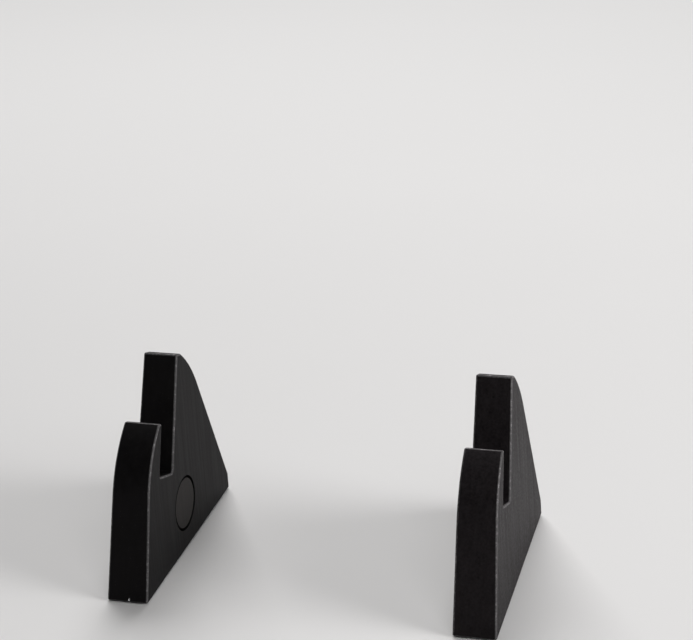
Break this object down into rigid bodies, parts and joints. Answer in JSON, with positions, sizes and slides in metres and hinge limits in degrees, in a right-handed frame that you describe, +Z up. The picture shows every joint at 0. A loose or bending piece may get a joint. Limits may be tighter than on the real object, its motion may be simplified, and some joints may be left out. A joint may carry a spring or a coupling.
{
  "type": "tablet stand",
  "caption": "Pair of loose satin-black wedge feet with hooked lips and slanted slots that hold a tablet upright; magnets let the feet close together.",
  "frame": {"origin": "on the table top, midway between the two feet and midway from the front of their ground faces to the back", "axes": "+X along the tablet's lower edge, to the reader's right; +Y away from the reader; +Z up"},
  "size_m": [0.1156, 0.0739, 0.0622],
  "materials": {
    "foot_metal": "satin black coating with a fine grain",
    "cap_metal": "satin black coating, turned face",
    "magnet_plating": "bright nickel plate",
    "grip_rubber": "matt, finely ribbed"
  },
  "bodies": {
    "left_side": {"left_foot": "foot_metal", "left_magnet_cap": "cap_metal", "left_magnet": "magnet_plating", "left_base_pad": "grip_rubber"},
    "right_side": {"right_foot": "foot_metal", "right_magnet_cap": "cap_metal", "right_magnet": "magnet_plating", "right_base_pad": "grip_rubber"}
  },
  "joints": [
    {"name": "foot_spacing", "type": "slide", "parent": "left_side", "child": "right_side", "axis": [1, 0, 0], "range_m": [-0.0901, 0.06]}
  ]
}
